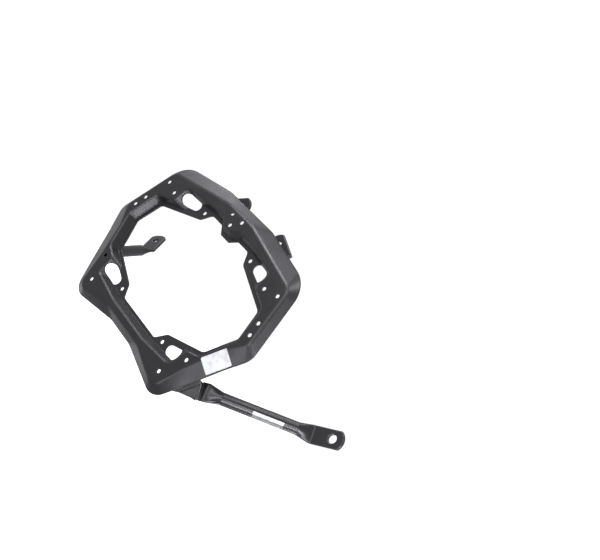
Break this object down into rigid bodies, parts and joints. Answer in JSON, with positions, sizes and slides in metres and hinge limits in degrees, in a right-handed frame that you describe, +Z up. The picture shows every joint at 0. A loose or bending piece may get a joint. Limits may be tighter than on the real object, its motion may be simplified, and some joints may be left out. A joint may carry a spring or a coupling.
{
  "type": "pannier frame",
  "caption": "Pressed steel ring plate with a sloped flange and recessed lobes, carried on bent tube struts, to hold a side case on a motorbike.",
  "frame": {"origin": "middle of the four lobe holes, on the front of the recessed seat", "axes": "+X forward on the motorbike, +Z up, -Y outward towards the case"},
  "size_m": [0.5488, 0.1354, 0.2968],
  "materials": {
    "ring_plate": "satin black powder coat",
    "strut_top_rear": "satin black powder coat",
    "strut_top_front": "satin black powder coat",
    "strut_rear_lower": "satin black powder coat",
    "strut_front_lower": "satin black powder coat",
    "gusset": "satin black powder coat"
  },
  "bodies": {
    "root": {"ring_plate": "ring_plate", "strut_top_rear": "strut_top_rear", "strut_top_front": "strut_top_front", "strut_rear_lower": "strut_rear_lower", "strut_front_lower": "strut_front_lower", "gusset": "gusset"}
  },
  "joints": []
}
